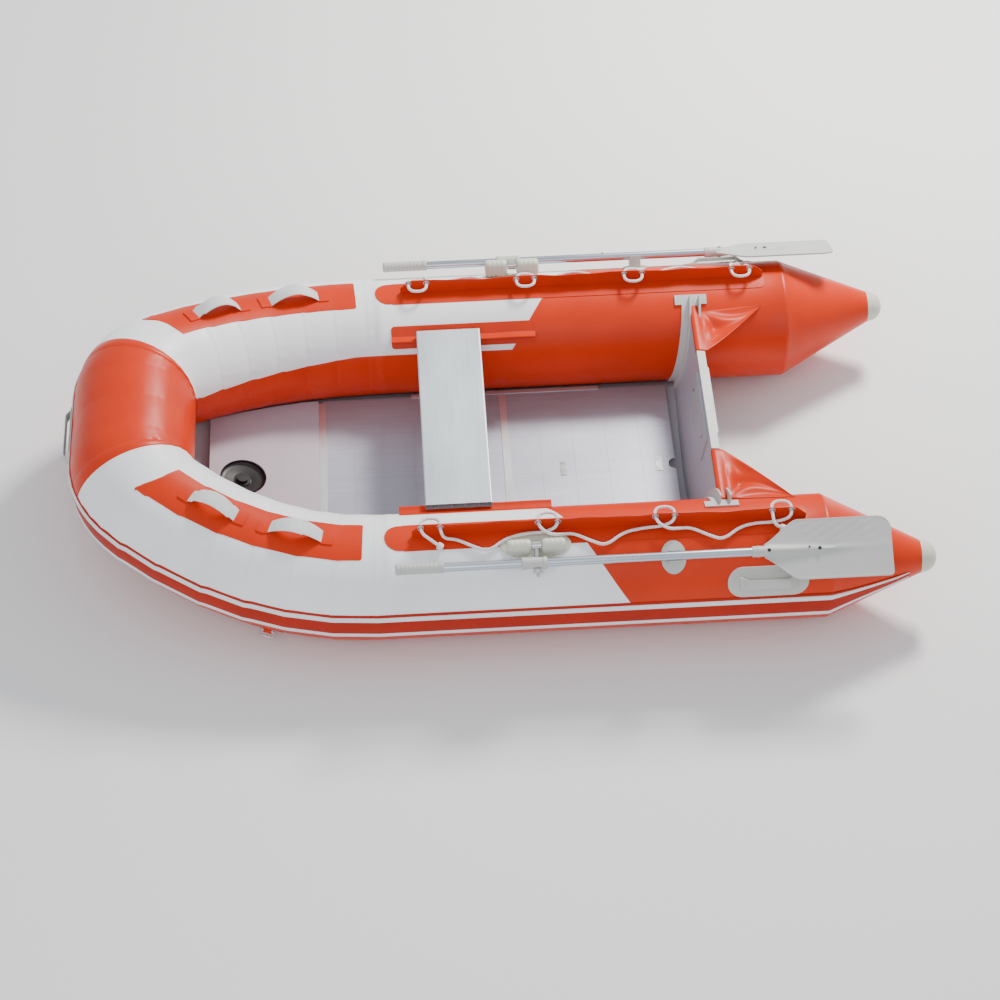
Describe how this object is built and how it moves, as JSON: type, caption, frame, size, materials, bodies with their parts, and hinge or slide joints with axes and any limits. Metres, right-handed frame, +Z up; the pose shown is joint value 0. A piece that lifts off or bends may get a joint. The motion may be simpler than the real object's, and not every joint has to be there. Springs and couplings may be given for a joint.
{
  "type": "inflatable dinghy",
  "caption": "Inflatable dinghy with orange tubes, aluminium floor and bench, transom for an outboard, lifelines and two oars stowed along the sides.",
  "frame": {"origin": "middle of the boat's length and beam, on the surface that the side tubes rest on", "axes": "+X forward to the bow, +Y to port, +Z up"},
  "size_m": [2.9482, 1.6062, 0.57],
  "materials": {
    "tube_fabric": "coated tube fabric in orange with light panels, satin",
    "cap_plastic": "beige moulded plastic",
    "strake": "dark red rubbing strip with light ribs, satin",
    "patch_fabric": "orange coated fabric, satin",
    "webbing": "light webbing",
    "rope": "white plaited rope",
    "grey_plastic": "light grey moulded plastic",
    "grey_rubber": "light grey moulded rubber",
    "aluminium": "mill finished aluminium, fine lines",
    "floor_fabric": "grey coated fabric, matt",
    "transom_board": "light painted marine board",
    "motor_pad": "grey plastic plate",
    "steel": "stainless steel",
    "blade_plastic": "light grey moulded plastic, matt",
    "grip_plastic": "light grey moulded plastic",
    "valve_plastic": "dark grey plastic"
  },
  "bodies": {
    "hull": {"bench_rails": "patch_fabric", "bow_board": "aluminium", "bow_tow_eye": "grey_plastic", "carry_handles": "grey_plastic", "cone_caps": "cap_plastic", "fasteners": "steel", "floor_joiners": "aluminium", "floor_panel_front": "aluminium", "floor_panel_rear": "aluminium", "floor_plates": "steel", "floor_stringers": "aluminium", "handle_patches": "patch_fabric", "handle_straps": "webbing", "hull_bottom": "floor_fabric", "keel_tube": "floor_fabric", "lifeline_flaps": "patch_fabric", "lifeline_grommets": "steel", "lifeline_port": "rope", "lifeline_starboard": "rope", "motor_plates": "motor_pad", "oar_clips": "grey_plastic", "oarlock_axles": "steel", "oarlock_bases": "grey_rubber", "rub_strake": "strake", "tow_ring_patches": "patch_fabric", "transom_board": "transom_board", "transom_gussets": "patch_fabric", "transom_holders": "grey_rubber", "transom_trim": "aluminium", "tube_baffles": "tube_fabric", "tube_bow_centre": "tube_fabric", "tube_bow_port": "tube_fabric", "tube_bow_starboard": "tube_fabric", "tube_port": "tube_fabric", "tube_starboard": "tube_fabric", "valve_bodies": "valve_plastic"},
    "bench": {"bench_board": "aluminium", "bench_end_profiles": "aluminium"},
    "oar_port": {"oarlock_pin_port": "steel", "oar_port_grip": "grip_plastic", "oar_port_shaft_upper": "aluminium", "oar_port_shaft_lower": "aluminium", "oar_port_blade": "blade_plastic", "oar_port_collar": "grip_plastic"},
    "oar_button_port": {"oar_port_button": "grey_plastic"},
    "oarlock_knob_port": {"oarlock_knob_port": "grip_plastic"},
    "tow_ring_port": {"tow_ring_port": "steel"},
    "valve_cap_port": {"valve_cap_port": "valve_plastic"},
    "oar_starboard": {"oarlock_pin_starboard": "steel", "oar_starboard_grip": "grip_plastic", "oar_starboard_shaft_upper": "aluminium", "oar_starboard_shaft_lower": "aluminium", "oar_starboard_blade": "blade_plastic", "oar_starboard_collar": "grip_plastic"},
    "oar_button_starboard": {"oar_starboard_button": "grey_plastic"},
    "oarlock_knob_starboard": {"oarlock_knob_starboard": "grip_plastic"},
    "tow_ring_starboard": {"tow_ring_starboard": "steel"},
    "valve_cap_starboard": {"valve_cap_starboard": "valve_plastic"},
    "valve_cap_bow": {"valve_cap_bow": "valve_plastic"},
    "valve_cap_keel": {"valve_cap_keel": "valve_plastic"}
  },
  "joints": [
    {"name": "oar_tilt_port", "type": "hinge", "parent": "hull", "child": "oar_port", "pos_m": [-0.11612, 0.6642, 0.448], "axis": [1, 0, 0], "range_deg": [0, 120]},
    {"name": "oar_button_press_port", "type": "slide", "parent": "oar_port", "child": "oar_button_port", "axis": [0, -0.5, -0.866], "range_m": [0, 0.005], "stiffness_N_per_m": 400, "springref_m": -0.002},
    {"name": "oarlock_knob_turn_port", "type": "hinge", "parent": "oar_port", "child": "oarlock_knob_port", "pos_m": [-0.11612, 0.7146, 0.4188], "axis": [0, 0.866, -0.5], "continuous": true},
    {"name": "tow_ring_swing_port", "type": "hinge", "parent": "hull", "child": "tow_ring_port", "pos_m": [0.79255, 0.66726, 0.07664], "axis": [0.956, -0.2599, 0.1361], "range_deg": [-50, 135]},
    {"name": "oar_tilt_starboard", "type": "hinge", "parent": "hull", "child": "oar_starboard", "pos_m": [-0.11612, -0.6642, 0.448], "axis": [-1, 0, 0], "range_deg": [0, 120]},
    {"name": "oar_button_press_starboard", "type": "slide", "parent": "oar_starboard", "child": "oar_button_starboard", "axis": [0, 0.5, -0.866], "range_m": [0, 0.005], "stiffness_N_per_m": 400, "springref_m": -0.002},
    {"name": "oarlock_knob_turn_starboard", "type": "hinge", "parent": "oar_starboard", "child": "oarlock_knob_starboard", "pos_m": [-0.11612, -0.7146, 0.4188], "axis": [0, -0.866, -0.5], "continuous": true},
    {"name": "tow_ring_swing_starboard", "type": "hinge", "parent": "hull", "child": "tow_ring_starboard", "pos_m": [0.79255, -0.66726, 0.07664], "axis": [-0.956, -0.2599, -0.1361], "range_deg": [-50, 135]},
    {"name": "bench_slide", "type": "slide", "parent": "hull", "child": "bench", "axis": [1, 0, 0], "range_m": [-0.19, 0.08]},
    {"name": "valve_cap_turn_port", "type": "hinge", "parent": "hull", "child": "valve_cap_port", "pos_m": [0.16388, 0.36204, 0.23923], "axis": [0, -0.9903, 0.1392], "continuous": true},
    {"name": "valve_cap_turn_starboard", "type": "hinge", "parent": "hull", "child": "valve_cap_starboard", "pos_m": [0.16388, -0.36204, 0.23923], "axis": [0, 0.9903, 0.1392], "continuous": true},
    {"name": "valve_cap_turn_bow", "type": "hinge", "parent": "hull", "child": "valve_cap_bow", "pos_m": [0.87455, 0.24794, 0.31028], "axis": [-0.4821, -0.8655, 0.1359], "continuous": true},
    {"name": "valve_cap_turn_keel", "type": "hinge", "parent": "hull", "child": "valve_cap_keel", "pos_m": [0.87988, 0, 0.09771], "axis": [-0.1357, 0, 0.9907], "continuous": true}
  ]
}
